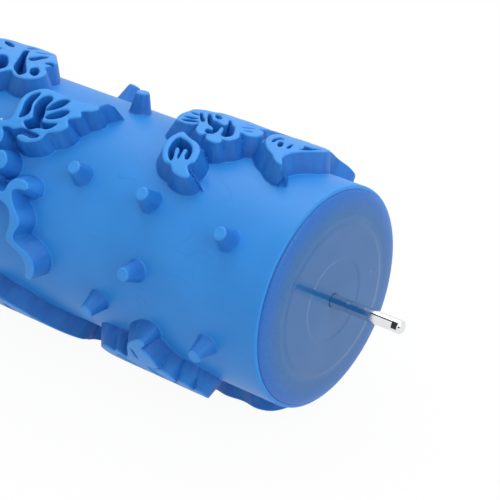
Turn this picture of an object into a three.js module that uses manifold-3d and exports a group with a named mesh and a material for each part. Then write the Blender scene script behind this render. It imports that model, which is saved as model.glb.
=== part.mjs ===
// Pattern paint roller: a rubber sleeve with a raised floral relief, on a plastic core that spins on a
// steel pin. Millimetres. The pin lies along X, the origin is the middle of the roller, and Z is up.

import * as THREE from "three";
import { mergeVertices } from "three/addons/utils/BufferGeometryUtils.js";
import Module from "manifold-3d";

const wasm = await Module();
wasm.setup();

// Clearances and mesh limits
const seatGap = 0.3;
const runGap = 0.3;
const overrun = 1;
const weldGap = 0.0001;
const snapGap = 0.001;

// Rubber sleeve
const sleeveLength = 175;
const baseRadius = 25;
const reliefHeight = 4.8;
const sleeveWall = 3.5;
const lipWall = 0.8;
const rootDepth = 1;
const facetCount = 24;

// Core tube
const tubeWall = 2;

// End cap
const capRise = 1.7;
const flangeThickness = 2.6;
const discRadius = 17;
const discStep = 0.3;
const recessRadius = 9.3;
const recessDepth = 0.35;
const faceThickness = 2.4;
const spigotLength = 6;
const spigotWall = 2;
const domeSteps = 3;

// Hub
const hubLength = 12;
const hubRimWall = 1.6;
const hubBossWall = 2;
const hubWebThickness = 2;
const hubRibThickness = 1.4;
const hubRibDepth = 8;
const hubRibs = 5;
const hubSides = 24;

// Bush
const bushWall = 1.4;
const bushFlangeRadius = 5.2;
const bushFlangeThickness = 1;

// Pin
const pinRadius = 1.5;
const pinReach = 17.5;
const pinChamfer = 0.3;
const pinSides = 18;
const pinPlay = 0.5;
const slotWidth = 0.35;
const slotDepth = 0.3;
const slotLength = 5.6;
const slotTurn = 35;
const notchLength = 1.35;
const notchDepth = 0.3;
const notchInset = 0.6;
const notchTurn = 60;

// Thrust washer and retaining ring
const washerRadius = 4.4;
const washerThickness = 0.8;
const ringThickness = 0.8;
const ringRadius = 3.2;
const ringBite = 0.5;
const ringMouth = 2.2;
const ringSides = 18;

// Pegs of the relief
const pegTopRadius = 1.6;
const pegFootRadius = 2.6;
const pegSides = 8;

// Motifs of the relief, drawn as they are seen from outside: X along the sleeve, Y round it. Each has an
// outline, holes and slots with pointed ends, as rows of their start, end and width. All are shares of the
// motif's size.
const motifSize = 10;
const wallLean = 2;
const slotBellyShare = 0.5;
const rosetteShares = {
  outline: [
    [-0.62, 0.66], [-0.66, 0.42], [-0.84, 0.3], [-0.96, 0.08], [-0.93, -0.45], [-0.82, -0.72],
    [-0.6, -0.82], [-0.28, -0.7], [0.03, -0.97], [0.14, -0.92], [0.28, -1.06], [0.45, -1.05],
    [0.68, -0.89], [0.78, -0.74], [0.58, -0.27], [0.92, -0.27], [1, -0.1], [0.88, 0.2], [0.68, 0.3],
    [0.74, 0.5], [0.56, 0.72], [0.34, 0.66], [0.24, 0.8], [-0.02, 0.9], [-0.2, 0.74], [-0.36, 0.78],
  ],
  holes: [
    [
      [-0.34, 0.38], [-0.2, 0.02], [-0.5, 0.12], [-0.52, -0.02], [-0.24, -0.16], [-0.1, -0.6],
      [0.05, -0.78], [0.17, -0.8], [0.23, -0.68], [0.17, -0.4], [0.36, -0.66], [0.52, -0.74],
      [0.6, -0.58], [0.48, -0.3], [0.3, -0.12], [0.5, 0.06], [0.4, 0.18], [0.2, 0.06], [0.26, 0.4],
      [0.12, 0.46], [0, 0.12], [-0.2, 0.46],
    ],
  ],
  slots: [
    [-0.78, -0.66, -0.36, -0.46, 0.13], [-0.82, -0.44, -0.42, -0.3, 0.12],
    [-0.84, -0.22, -0.5, -0.16, 0.1], [0.62, -0.2, 0.84, 0.02, 0.1], [0.5, -0.06, 0.76, 0.18, 0.1],
  ],
};
const flowerShares = {
  outline: [
    [1.41, -0.62], [1.3, -0.85], [1.02, -0.97], [0.58, -0.82], [0.32, -1.12], [0.05, -1.2],
    [-0.15, -1.08], [-0.26, -0.9], [-0.45, -1.1], [-0.75, -1.12], [-0.95, -0.9], [-0.86, -0.6],
    [-1.1, -0.55], [-1.3, -0.3], [-1.25, 0], [-1, 0.12], [-1.15, 0.4], [-1.05, 0.7], [-0.8, 0.85],
    [-0.55, 0.75], [-0.4, 1.05], [-0.1, 1.15], [0.15, 1], [0.2, 0.75], [0.42, 0.94], [0.66, 0.88],
    [0.78, 0.52], [1.05, 0.36], [1.22, 0.1], [1.18, -0.24],
  ],
  holes: [
    [
      [1.24, -0.73], [1.04, -0.68], [0.91, -0.51], [0.94, -0.38], [1.2, -0.55],
    ],
    [
      [0, 0.4], [0.94, -0.7], [0.91, -0.87], [0.5, -0.64], [-0.03, 0.25],
    ],
    [
      [0.26, -0.92], [-0.2, -0.4], [-0.08, -0.32], [0.27, -0.59], [0.37, -0.78],
    ],
    [
      [1.16, -0.05], [0.94, -0.08], [0.92, 0.08], [1.06, 0.1],
    ],
    [
      [0.64, -0.16], [0.45, -0.1], [0.5, 0.38], [0.62, 0.4], [0.68, 0.16],
    ],
  ],
  slots: [
    [-0.3, -0.4, -0.72, -0.88, 0.2], [-0.4, -0.1, -1.05, -0.24, 0.2], [-0.34, 0.2, -0.86, 0.54, 0.2],
    [-0.12, 0.46, -0.16, 0.92, 0.18], [0.2, 0.4, 0.46, 0.74, 0.16],
  ],
};
const bloomShares = {
  outline: [
    [1.2, 0.72], [1.13, 0.56], [0.91, 0.45], [1.02, 0.3], [0.79, 0.13], [0.93, -0.05], [0.83, -0.23],
    [0.56, -0.38], [0.52, -0.57], [0.07, -0.77], [-0.13, -0.71], [-0.07, -0.62], [0.27, -0.62],
    [0.42, -0.5], [-0.12, -0.47], [-0.62, -0.62], [-0.45, -0.85], [-0.5, -1], [-0.75, -1.05],
    [-1, -0.95], [-1.05, -0.7], [-0.9, -0.52], [-0.6, -0.4], [-0.57, -0.26], [-0.71, 0.22],
    [-0.66, 0.49], [-0.42, 0.74], [0.63, 0.72], [1.04, 0.79],
  ],
  holes: [
    [
      [-0.42, 0.57], [-0.25, 0], [-0.25, -0.14], [-0.39, -0.26], [-0.56, 0.2], [-0.56, 0.43],
    ],
    [
      [-0.15, 0.57], [0.01, 0.5], [0.03, 0.25], [0.23, -0.16], [0.63, -0.07], [0.5, -0.28],
      [0.05, -0.45], [-0.2, -0.3], [-0.06, -0.16], [-0.26, 0.2], [-0.27, 0.44],
    ],
    [
      [0.08, 0.16], [0.23, 0.6], [0.4, 0.64], [0.39, 0.41], [0.24, 0.22],
    ],
    [
      [0.65, 0.34], [0.61, 0.14], [0.4, -0.02], [0.22, -0.03], [0.48, 0.32],
    ],
  ],
  slots: [],
};
const ringLeafShares = {
  outline: [
    [-0.37, 0.57], [0.31, 0.23], [0.46, 0.03], [0.42, -0.28], [0.61, -0.5], [0.56, -0.61], [0.36, -0.65],
    [0.18, -0.59], [0.07, -0.44], [-0.24, -0.33], [-0.47, 0.15], [-0.48, 0.42],
  ],
  holes: [
    [
      [-0.27, 0.38], [0.07, 0.28], [0.22, 0.12], [0.25, -0.16], [0.09, 0.13], [0.12, -0.24],
      [-0.09, 0.08], [-0.13, 0.02], [-0.02, -0.28], [-0.06, -0.33], [-0.2, -0.2], [-0.31, 0],
      [-0.34, 0.25],
    ],
  ],
  slots: [],
};
const ribLeafShares = {
  outline: [
    [-0.36, 1.4], [0, 1.45], [0.68, 0.92], [0.74, 0.76], [0.66, 0.42], [0.4, -0.18], [0.53, -0.63],
    [0.45, -0.66], [0.17, -0.5], [-0.34, -0.06], [-0.54, 0.25], [-0.68, 0.82], [-0.6, 1.15],
  ],
  holes: [],
  slots: [
    [-0.32, 0.06, -0.4, 0.7, 0.15], [-0.03, -0.06, -0.22, 0.74, 0.16], [0.2, -0.02, 0.1, 0.62, 0.14],
    [0.38, 0.1, 0.5, 0.66, 0.12],
  ],
};
const tendrilShares = {
  outline: [
    [0.44, -1.15], [0.57, -1.06], [0.66, -0.7], [0.57, -0.54], [0.03, -0.26], [0.15, 0.2], [-0.23, 0.66],
    [-0.23, 0.78], [0.17, 0.92], [0.15, 0.98], [-0.12, 1.08], [-0.31, 1.01], [-0.48, 0.68], [-1, 0.68],
    [-1.25, 0.58], [-1.4, 0.36], [-1.3, 0.22], [-0.95, 0.47], [-0.52, 0.47], [-0.22, 0.34],
    [-0.14, 0.16], [-0.14, -0.38], [0.26, -0.57], [0.38, -0.74], [0.35, -1.08],
  ],
  holes: [],
  slots: [],
};
const sprayShares = {
  outline: [
    [-1.7, -0.7], [-1.85, -0.3], [-1.75, -0.1], [-1.52, 0.04], [-1.04, -0.1], [-0.74, 0.56],
    [-0.15, 1.43], [0.03, 1.59], [0.25, 1.66], [0.43, 1.62], [0.42, 1.46], [-0.2, 0.75], [-0.22, 0.6],
    [0.02, 0], [0.24, 0.13], [0.46, 0.02], [0.52, -0.28], [0.44, -0.5], [0.66, -0.42], [0.9, -0.5],
    [0.95, -0.78], [0.72, -0.98], [0.3, -1.02], [0.05, -1.2], [-0.3, -1.15], [-0.5, -0.92], [-0.9, -1],
    [-1.3, -0.95],
  ],
  holes: [],
  slots: [
    [-0.5, 0.5, -0.34, -0.3, 0.16], [-0.1, -0.4, 0.34, -0.76, 0.16], [-1.4, -0.2, -0.7, -0.66, 0.16],
  ],
};
const lobedLeafShares = {
  outline: [
    [0.2, -1.16], [0.16, -0.66], [0.45, -0.6], [0.56, -0.34], [0.85, -0.3], [0.98, -0.12], [0.85, 0.16],
    [0.54, 0.26], [0.7, 0.5], [0.62, 0.76], [0.3, 0.82], [0.02, 0.62], [-0.08, 0.88], [-0.34, 0.92],
    [-0.55, 0.7], [-0.5, 0.36], [-0.74, 0.38], [-0.9, 0.22], [-0.84, -0.06], [-0.62, -0.2],
    [-0.52, -0.46], [-0.3, -0.62], [-0.02, -1.12],
  ],
  holes: [],
  slots: [
    [-0.1, 0.02, -0.3, 0.7, 0.16], [0.14, 0.04, 0.5, 0.6, 0.16], [0.2, -0.16, 0.76, -0.14, 0.15],
    [-0.2, -0.1, -0.72, 0.14, 0.15],
  ],
};
const leafShares = {
  outline: [
    [0.86, 0], [0.5, 0.26], [0, 0.36], [-0.4, 0.28], [-0.72, 0], [-0.45, -0.28], [0, -0.36],
    [0.46, -0.26],
  ],
  holes: [],
  slots: [
    [-0.46, 0, 0.5, 0, 0.18],
  ],
};

// Places that follow from the sizes above
const halfLength = sleeveLength / 2;
const crownRadius = baseRadius + reliefHeight;
const rootRadius = baseRadius - rootDepth;
const boreRadius = baseRadius - sleeveWall;
const lipRadius = baseRadius - lipWall;
const tubeRadius = boreRadius - seatGap;
const tubeBore = tubeRadius - tubeWall;
const capEdgeRadius = lipRadius - seatGap;
const spigotRadius = tubeBore - seatGap;
const pinHoleRadius = pinRadius + pinPlay;
const bushBore = pinRadius + runGap;
const bushRadius = bushBore + bushWall;
const hubBore = bushRadius + seatGap;
const grooveRadius = pinRadius - ringBite;
const pinHalf = halfLength + capRise + pinReach;
const facetAngle = (2 * Math.PI) / facetCount;
const quarterTurn = Math.PI / 2;
const radians = THREE.MathUtils.degToRad;

// Distances along the roller's end, from the sleeve's rim: outwards is positive
const capFace = capRise;
const flangeBack = -flangeThickness;
const spigotEnd = flangeBack - spigotLength;
const hubOuter = spigotEnd - seatGap;
const hubInner = hubOuter - hubLength;
const bushFlangeFace = hubInner - seatGap - bushFlangeThickness;
const washerOuter = bushFlangeFace - seatGap;
const washerInner = washerOuter - washerThickness;
const ringOuter = washerInner - seatGap;
const ringInner = ringOuter - ringThickness;

// A closed solid from any geometry whose corners meet
function solid(geometry) {
  const bare = new THREE.BufferGeometry();
  bare.setAttribute("position", geometry.getAttribute("position"));
  bare.setIndex(geometry.index);
  const welded = mergeVertices(bare, weldGap);
  const corners = welded.index.array;
  const places = welded.getAttribute("position");
  const triangles = [];
  for (let i = 0; i < corners.length; i += 3) {
    const [a, b, c] = corners.slice(i, i + 3);
    if (a !== b && b !== c && c !== a) triangles.push([a, b, c]);
  }
  const point = (n) => new THREE.Vector3().fromBufferAttribute(places, n);
  const volume = triangles.reduce((sum, [a, b, c]) => sum + point(a).dot(point(b).cross(point(c))), 0);
  const outward = triangles.map(([a, b, c]) => (volume > 0 ? [a, b, c] : [a, c, b]));
  const mesh = new wasm.Mesh({
    numProp: 3,
    vertProperties: new Float32Array(places.array),
    triVerts: new Uint32Array(outward.flat()),
  });
  return new wasm.Manifold(mesh);
}

// A body of revolution round the X axis, from its [along, radius] corners
function turned(corners, sides) {
  const profile = [...corners, corners[0]].map(([along, radius]) => new THREE.Vector2(radius, along));
  return solid(new THREE.LatheGeometry(profile, sides).rotateZ(-quarterTurn));
}

// A plain ring round the X axis
function ring(from, to, outer, inner, sides) {
  return turned([[from, inner], [from, outer], [to, outer], [to, inner]], sides);
}

// A box that starts on the X axis and stands out along Z, turned about X by some degrees
function block(from, to, width, low, high, degrees) {
  const box = new THREE.BoxGeometry(to - from, width, high - low);
  box.translate((from + to) / 2, 0, (low + high) / 2);
  return solid(box.rotateX(radians(degrees)));
}

const joined = (pieces) => pieces.reduce((whole, piece) => whole.add(piece));
const cut = (whole, tools) => tools.reduce((rest, tool) => rest.subtract(tool), whole);

const onCircle = (radius, angle) => new THREE.Vector2(radius * Math.cos(angle), radius * Math.sin(angle));

// The four corners of a slot with pointed ends
function slot([x0, y0, x1, y1, width]) {
  const from = new THREE.Vector2(x0, y0);
  const to = new THREE.Vector2(x1, y1);
  const side = to.clone().sub(from).rotateAround(new THREE.Vector2(), quarterTurn).setLength(width / 2);
  const middle = from.clone().lerp(to, slotBellyShare);
  return [from, middle.clone().sub(side), to, middle.clone().add(side)].map(({ x, y }) => [x, y]);
}

// Moves a point onto the facet line that it all but touches
function settled(point, strip) {
  const line = Math.round(point.y / strip) * strip;
  if (Math.abs(point.y - line) < snapGap) point.y = line;
  return point;
}

// Bends a flat solid round the sleeve. X stays, Y runs round the crown, and Z is the height over the root.
// Each triangle is cut where it crosses a facet edge first, so that the bent faces follow the facets.
function bentRound(flat) {
  const strip = facetAngle * crownRadius;
  const places = flat.getAttribute("position");
  const bent = [];
  const push = (point, facet) => {
    const share = point.y / strip - facet;
    const radius = rootRadius + point.z;
    const from = onCircle(radius, quarterTurn - facet * facetAngle);
    const to = onCircle(radius, quarterTurn - (facet + 1) * facetAngle);
    const spot = from.lerp(to, share);
    bent.push(point.x, spot.x, spot.y);
  };
  for (let i = 0; i < places.count; i += 3) {
    let rest = [0, 1, 2].map((n) => settled(new THREE.Vector3().fromBufferAttribute(places, i + n), strip));
    let facet = Math.floor(Math.min(...rest.map((point) => point.y)) / strip);
    while (rest.length) {
      const [below, above] = cutAt(rest, (facet + 1) * strip);
      for (let n = 1; n + 1 < below.length; n += 1) {
        for (const point of [below[0], below[n], below[n + 1]]) push(point, facet);
      }
      rest = above;
      facet += 1;
    }
  }
  return new THREE.BufferGeometry().setAttribute("position", new THREE.Float32BufferAttribute(bent, 3));
}

// The parts of a flat convex outline below and above a level of Y
function cutAt(outline, level) {
  const below = [];
  const above = [];
  outline.forEach((point, n) => {
    const next = outline[(n + 1) % outline.length];
    if (point.y <= level) below.push(point);
    if (point.y >= level) above.push(point);
    if ((point.y - level) * (next.y - level) < 0) {
      const [low, high] = point.y < next.y ? [point, next] : [next, point];
      const crossing = low.clone().lerp(high, (level - low.y) / (high.y - low.y));
      crossing.y = level;
      below.push(crossing);
      above.push(crossing);
    }
  });
  return [below.length > 2 ? below : [], above.length > 2 ? above : []];
}

// A motif on the sleeve: its middle as a share of the half length, degrees round from the top line, and
// degrees of its own turn. Its walls lean out to the foot, and its holes are straight.
function motif({ outline, holes, slots }, scale, alongShare, around, turn) {
  const size = motifSize * scale;
  const raised = (corners, low, high, lean) => {
    const shape = new THREE.Shape(corners.map(([x, y]) => new THREE.Vector2(x * size, y * size)));
    const flat = new THREE.ExtrudeGeometry(shape, { depth: high - low, bevelEnabled: false });
    const places = flat.getAttribute("position");
    const footShare = 1 + lean / size;
    for (let n = 0; n < places.count; n += 1) {
      if (places.getZ(n) === 0) places.setXY(n, places.getX(n) * footShare, places.getY(n) * footShare);
    }
    flat.rotateZ(radians(turn));
    flat.translate(alongShare * halfLength, -radians(around) * crownRadius, low - rootRadius);
    return solid(bentRound(flat));
  };
  const holeFloor = (rootRadius + baseRadius) / 2;
  const hollow = (corners) => raised(corners, holeFloor, crownRadius + overrun, 0);
  const tools = [...holes, ...slots.map(slot)].map(hollow);
  return cut(raised(outline, rootRadius, crownRadius, wallLean), tools);
}

// A tapered peg on the sleeve
function peg(alongShare, around) {
  const height = crownRadius - rootRadius;
  const body = new THREE.CylinderGeometry(pegTopRadius, pegFootRadius, height, pegSides);
  body.rotateX(quarterTurn).translate(0, 0, (crownRadius + rootRadius) / 2);
  body.rotateX(radians(around)).translate(alongShare * halfLength, 0, 0);
  return solid(body);
}

// Motifs as rows of their drawing, scale, middle along, degrees round and turn; pegs as rows of their
// middle along and degrees round
const motifPlaceShares = [
  [rosetteShares, 1, 0.625, -14, 0],
  [ringLeafShares, 1, 0.629, 17, 0],
  [ribLeafShares, 1, 0.817, -8, 0],
  [bloomShares, 1, 0.197, 24.5, 0],
  [lobedLeafShares, 0.85, 0.1, 53, 20],
  [tendrilShares, 1, 0.269, 75, 0],
  [flowerShares, 1, -0.06, -9, 0],
  [sprayShares, 1, 0.709, 122, 0],
  [lobedLeafShares, 1, 0.85, -50, 150],
  [flowerShares, 1.3, 0.18, 150, 0],
  [lobedLeafShares, 1.35, 0.73, 172, 0],
  [lobedLeafShares, 1.5, 0.68, 254, 0],
  [leafShares, 1.6, 0.18, 216, 115],
  [leafShares, 1.6, 0.36, 258, 60],
  [leafShares, 1.6, 0.04, 274, 160],
  [rosetteShares, 1.5, -0.68, 2, 0],
  [ringLeafShares, 1.7, -0.5, 58, 190],
  [leafShares, 1.7, -0.28, 112, 60],
  [lobedLeafShares, 1.5, -0.72, 146, 200],
  [leafShares, 1.6, -0.15, 174, 70],
  [leafShares, 1.6, -0.34, 188, 130],
  [leafShares, 1.8, -0.66, 228, 90],
  [leafShares, 1.6, -0.16, 250, 30],
  [leafShares, 1.7, -0.66, 294, 20],
  [leafShares, 1.6, -0.3, 294, 130],
];
const pegPlaceShares = [
  [0.389, 41.5], [0.608, 41.5], [0.859, 45], [0.631, 75.5], [0.509, 101], [0.854, 99.5], [0.303, -18.5],
  [0.353, -14], [0.42, 206], [0.36, 244], [0.93, 224], [0.42, 290], [-0.12, 52], [-0.3, 44],
  [-0.14, 86], [-0.86, 88], [-0.06, 140], [-0.02, 246], [-0.5, 270], [-0.3, 330], [-0.9, 42],
  [-0.92, 284],
];

// Rubber sleeve: a tube with a thin lip round each cap, and the relief on it
function patternSleeve() {
  const shoulder = halfLength - flangeThickness;
  const tube = turned([
    [-halfLength, baseRadius], [halfLength, baseRadius], [halfLength, lipRadius], [shoulder, lipRadius],
    [shoulder, boreRadius], [-shoulder, boreRadius], [-shoulder, lipRadius], [-halfLength, lipRadius],
  ], facetCount);
  const motifs = motifPlaceShares.map((row) => motif(...row));
  const pegs = pegPlaceShares.map((place) => peg(...place));
  return joined([tube, ...motifs, ...pegs]);
}

function coreTube() {
  const shoulder = halfLength - flangeThickness;
  return ring(-shoulder, shoulder, tubeRadius, tubeBore, facetCount);
}

// End cap: a flat disc with a recess round the pin, a domed shoulder, an edge that sits in the sleeve's
// lip, and a spigot in the core tube
function endCap() {
  const dome = Array.from({ length: domeSteps + 1 }, (_, n) => {
    const angle = (n / domeSteps) * quarterTurn;
    const radius = discRadius + (capEdgeRadius - discRadius) * Math.sin(angle);
    return [(capFace - discStep) * Math.cos(angle), radius];
  });
  return turned([
    [capFace - faceThickness, pinHoleRadius],
    [capFace - recessDepth, pinHoleRadius],
    [capFace - recessDepth, recessRadius],
    [capFace, recessRadius],
    [capFace, discRadius],
    ...dome,
    [flangeBack, capEdgeRadius],
    [flangeBack, spigotRadius],
    [spigotEnd, spigotRadius],
    [spigotEnd, spigotRadius - spigotWall],
    [capFace - faceThickness, spigotRadius - spigotWall],
  ], facetCount);
}

// Hub: a rim in the core tube, a boss round the bush, a web and ribs between them
function hub() {
  const rimRadius = tubeBore - seatGap;
  const bossRadius = hubBore + hubBossWall;
  const rimBore = rimRadius - hubRimWall;
  const rim = ring(hubInner, hubOuter, rimRadius, rimBore, hubSides);
  const boss = ring(hubInner, hubOuter, bossRadius, hubBore, pinSides);
  const webReach = rimBore + hubRimWall / 2;
  const webBore = bossRadius - hubBossWall / 2;
  const web = ring(hubInner, hubInner + hubWebThickness, webReach, webBore, hubSides);
  const ribs = Array.from({ length: hubRibs }, (_, n) => block(
    hubInner,
    hubInner + hubRibDepth,
    hubRibThickness,
    webBore,
    webReach,
    (n * 360) / hubRibs,
  ));
  return joined([rim, boss, web, ...ribs]);
}

function bush() {
  return turned([
    [hubOuter, bushBore],
    [hubOuter, bushRadius],
    [hubInner - seatGap, bushRadius],
    [hubInner - seatGap, bushFlangeRadius],
    [bushFlangeFace, bushFlangeRadius],
    [bushFlangeFace, bushBore],
  ], pinSides);
}

function thrustWasher() {
  return ring(washerInner, washerOuter, washerRadius, pinRadius + runGap, pinSides);
}

// Retaining ring: an open clip, cut by a mouth that lets it on to the pin's groove
function retainingRing() {
  const clip = ring(ringInner, ringOuter, ringRadius, grooveRadius + seatGap, ringSides);
  const mouth = block(ringInner - overrun, ringOuter + overrun, ringMouth, 0, ringRadius + overrun, 180);
  return clip.subtract(mouth);
}

// Pin: a rod through the whole roller, with a groove for each retaining ring, and a slot and a notch near
// each tip
function pin() {
  const grooveFrom = halfLength + ringInner - seatGap;
  const grooveTo = halfLength + ringOuter + seatGap;
  const half = [
    [grooveFrom, pinRadius],
    [grooveFrom, grooveRadius],
    [grooveTo, grooveRadius],
    [grooveTo, pinRadius],
    [pinHalf - pinChamfer, pinRadius],
    [pinHalf, pinRadius - pinChamfer],
    [pinHalf, 0],
  ];
  const mirrored = half.map(([along, radius]) => [-along, radius]).reverse();
  const rod = turned([...mirrored, ...half], pinSides);
  const tools = [-1, 1].flatMap((side) => {
    const notchTo = side * (pinHalf - notchInset);
    const notchFrom = notchTo - side * notchLength;
    const slotFrom = notchFrom - side * slotLength;
    const span = (a, b, width, depth, turn) => block(
      Math.min(a, b), Math.max(a, b), width, pinRadius - depth, pinRadius + overrun, turn,
    );
    return [
      span(notchFrom, notchTo, 2 * pinRadius, notchDepth, notchTurn),
      span(slotFrom, notchFrom, slotWidth, slotDepth, slotTurn),
    ];
  });
  return cut(rod, tools);
}

const rubber = new THREE.MeshStandardMaterial({ color: 0x1f6fd0, roughness: 0.5, metalness: 0 });
const capPlastic = new THREE.MeshStandardMaterial({ color: 0x2a5ca8, roughness: 0.35, metalness: 0 });
const corePlastic = new THREE.MeshStandardMaterial({ color: 0xd9dadb, roughness: 0.55, metalness: 0 });
const bearingPlastic = new THREE.MeshStandardMaterial({ color: 0xf0ece0, roughness: 0.4, metalness: 0 });
const steel = new THREE.MeshStandardMaterial({ color: 0xd2d5d9, roughness: 0.18, metalness: 1 });

// A finished solid as a named mesh
function piece(name, made, material) {
  const { numProp, vertProperties, triVerts } = made.getMesh();
  const shared = new THREE.BufferGeometry();
  shared.setAttribute("position", new THREE.BufferAttribute(vertProperties, numProp));
  shared.setIndex(new THREE.BufferAttribute(triVerts, 1));
  const geometry = shared.toNonIndexed();
  geometry.computeVertexNormals();
  const mesh = new THREE.Mesh(geometry, material);
  mesh.name = name;
  return mesh;
}

const roller = new THREE.Group();
roller.name = "pattern_paint_roller";
roller.add(piece("pattern_sleeve", patternSleeve(), rubber));
roller.add(piece("core_tube", coreTube(), corePlastic));
roller.add(piece("axle", pin(), steel));

const endPieces = [
  ["end_cap", endCap(), capPlastic],
  ["hub", hub(), corePlastic],
  ["bush", bush(), bearingPlastic],
  ["thrust_washer", thrustWasher(), steel],
  ["retaining_ring", retainingRing(), steel],
];
for (const [side, place, turn] of [["right", halfLength, 0], ["left", -halfLength, Math.PI]]) {
  const end = new THREE.Group();
  end.position.x = place;
  end.rotation.z = turn;
  for (const [name, made, material] of endPieces) end.add(piece(`${name}_${side}`, made, material));
  roller.add(end);
}

export default roller;
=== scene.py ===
"""Dresses a pattern paint roller: a blue rubber sleeve with a raised floral relief and small pegs, plastic
end caps and a bright steel pin. Metres, with the pin along X and Z up."""

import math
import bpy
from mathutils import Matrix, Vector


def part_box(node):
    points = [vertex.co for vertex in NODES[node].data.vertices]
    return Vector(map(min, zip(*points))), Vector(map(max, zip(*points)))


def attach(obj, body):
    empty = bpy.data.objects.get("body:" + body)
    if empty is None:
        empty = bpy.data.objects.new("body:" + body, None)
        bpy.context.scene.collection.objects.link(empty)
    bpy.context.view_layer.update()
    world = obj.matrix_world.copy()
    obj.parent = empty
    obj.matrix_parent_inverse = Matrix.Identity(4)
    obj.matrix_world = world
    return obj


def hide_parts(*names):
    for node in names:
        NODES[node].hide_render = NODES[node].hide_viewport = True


bl_info = {
    "name": "Pattern paint roller",
    "version": (1, 0, 0),
    "blender": (4, 5, 0),
    "location": "3D View > Sidebar > Roller",
    "description": "Builds the sleeve, pegs, caps and pin of a pattern paint roller round its packed frame",
    "category": "Object",
}

from functools import partialmethod

import bmesh
import bpy
import numpy as np
from bpy.props import FloatProperty, FloatVectorProperty, IntProperty, PointerProperty
from bpy.types import Operator, Panel, PropertyGroup
from mathutils import Matrix, Vector
from mathutils.geometry import delaunay_2d_cdt

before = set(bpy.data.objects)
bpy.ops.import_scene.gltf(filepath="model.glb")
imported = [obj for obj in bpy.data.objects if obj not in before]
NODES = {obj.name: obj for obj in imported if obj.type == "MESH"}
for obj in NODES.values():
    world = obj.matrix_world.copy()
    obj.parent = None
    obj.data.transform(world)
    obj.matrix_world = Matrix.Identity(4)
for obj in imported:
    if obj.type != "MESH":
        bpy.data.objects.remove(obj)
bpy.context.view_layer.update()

MM = 0.001
SLEEVE_LOW, SLEEVE_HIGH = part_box("pattern_sleeve")
CAP_LOW, CAP_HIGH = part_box("end_cap_right")
PIN_LOW, PIN_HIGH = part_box("axle")
HALF_LENGTH = SLEEVE_HIGH.x
CAP_FACE = CAP_HIGH.x
CAP_EDGE = CAP_HIGH.z
PIN_HALF = PIN_HIGH.x
PIN_RADIUS = PIN_HIGH.z
FLOOR_LEVEL = SLEEVE_LOW.z

# The photograph's camera, from the middle of the near cap's face
CAMERA_REACH = Vector((0.1971, -0.2817, 0.2138))
CAMERA_RIGHT = Vector((0.78869, 0.61479, 0))
CAMERA_UP = Vector((-0.31107, 0.39906, 0.86255))
CAMERA_FORWARD = Vector((-0.53029, 0.68029, -0.50597))
CAMERA_LENS_MM = 137.45
SENSOR_MM = 36
CAMERA_CLIP = 0.01

# Metres: half the floor's side, how far behind the cap's face the card stands, and each lamp's place and side
FLOOR_REACH = 4
CARD_DISTANCE = 0.6
KEY_LAMP = ((-0.10, 0.30, 0.75), 0.8)
FILL_LAMP = ((0.60, -0.15, 0.40), 0.5)

# Points nearer than this become one, and edges that turn by more degrees than these stay sharp
MERGE_GAP = 0.002 * MM
SHARP_DEGREES = 38
PIN_SHARP_DEGREES = 30

# Inside of the caps: the face's thickness, and the radius and wall of the spigot that sits in the sleeve
CAP_SKIN = 2.4 * MM
CAP_SPIGOT = 18.9 * MM
CAP_SPIGOT_WALL = 2 * MM
DOME_STEP_DEGREES = 7.5

# Degrees round the pin from its top to the notch and the slot
NOTCH_TURN = 60
SLOT_TURN = 35


# Settings that a user would change

def length(name, description, default):
    return FloatProperty(name=name, description=description, default=default, min=0, precision=5, unit="LENGTH")


def colour(name, description, default):
    return FloatVectorProperty(
        name=name, description=description, default=(*default, 1), size=4, min=0, max=1, subtype="COLOR")


class SleeveSettings(PropertyGroup):
    base_radius: length("Base radius", "Radius of the bare rubber between the motifs", 25 * MM)
    relief_height: length("Relief height", "Height of the motifs over the bare rubber", 4.8 * MM)
    edge_rounding: length("Edge rounding", "Rounding of the motifs' top edges", 0.42 * MM)
    wall_slope: length("Wall slope", "How far a motif's wall leans out over its height", 1.8 * MM)
    lean: length("Lean", "How far the motifs' tops lie nearer the near end than their feet", 0.85 * MM)
    foot_fillet: length("Foot fillet", "Fillet between a motif's wall and the bare rubber", 0.8 * MM)
    wall: length("Wall", "Thickness of the rubber under the motifs", 3.5 * MM)
    lip_wall: length("Lip wall", "Thickness of the rim round each cap", 0.8 * MM)
    lip_depth: length("Lip depth", "Depth of the rim round each cap", 2.6 * MM)
    outline_step: length("Outline step", "Spacing of the points along a motif's edge", 0.6 * MM)
    along_step: length("Step along", "Spacing of the bare rubber's points along the roller", 2.2 * MM)
    around_steps: IntProperty(name="Steps around", description="Points round the roller", default=144, min=24)
    rubber: colour("Rubber", "Colour of the bare rubber", (0.020, 0.235, 0.68))
    # Painted highlight: the crown colour is the rubber made brighter on the motifs' tops, where the light falls
    crown: colour("Crown", "Colour of the motifs' tops", (0.030, 0.275, 0.76))
    # Painted shade: a darker blue that stands for the shade on the motifs' walls; the scuffs are drawn in it
    # too
    painted_shade_and_scuff_tint: colour("Wall shade", "Colour of the motifs' walls", (0.005, 0.120, 0.47))


class PegSettings(PropertyGroup):
    top_radius: length("Top radius", "Radius of a peg's flat top", 1.5 * MM)
    foot_radius: length("Foot radius", "Radius of a peg over its fillet", 2.6 * MM)
    flare: length("Flare", "Fillet at a peg's foot", 0.3 * MM)
    edge: length("Edge", "Rounding at a peg's top", 0.16 * MM)
    dish: length("Dish", "Depth of the shallow dish in a peg's top", 0.07 * MM)
    sink: length("Sink", "How far a peg reaches into the sleeve", 0.35 * MM)


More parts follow.
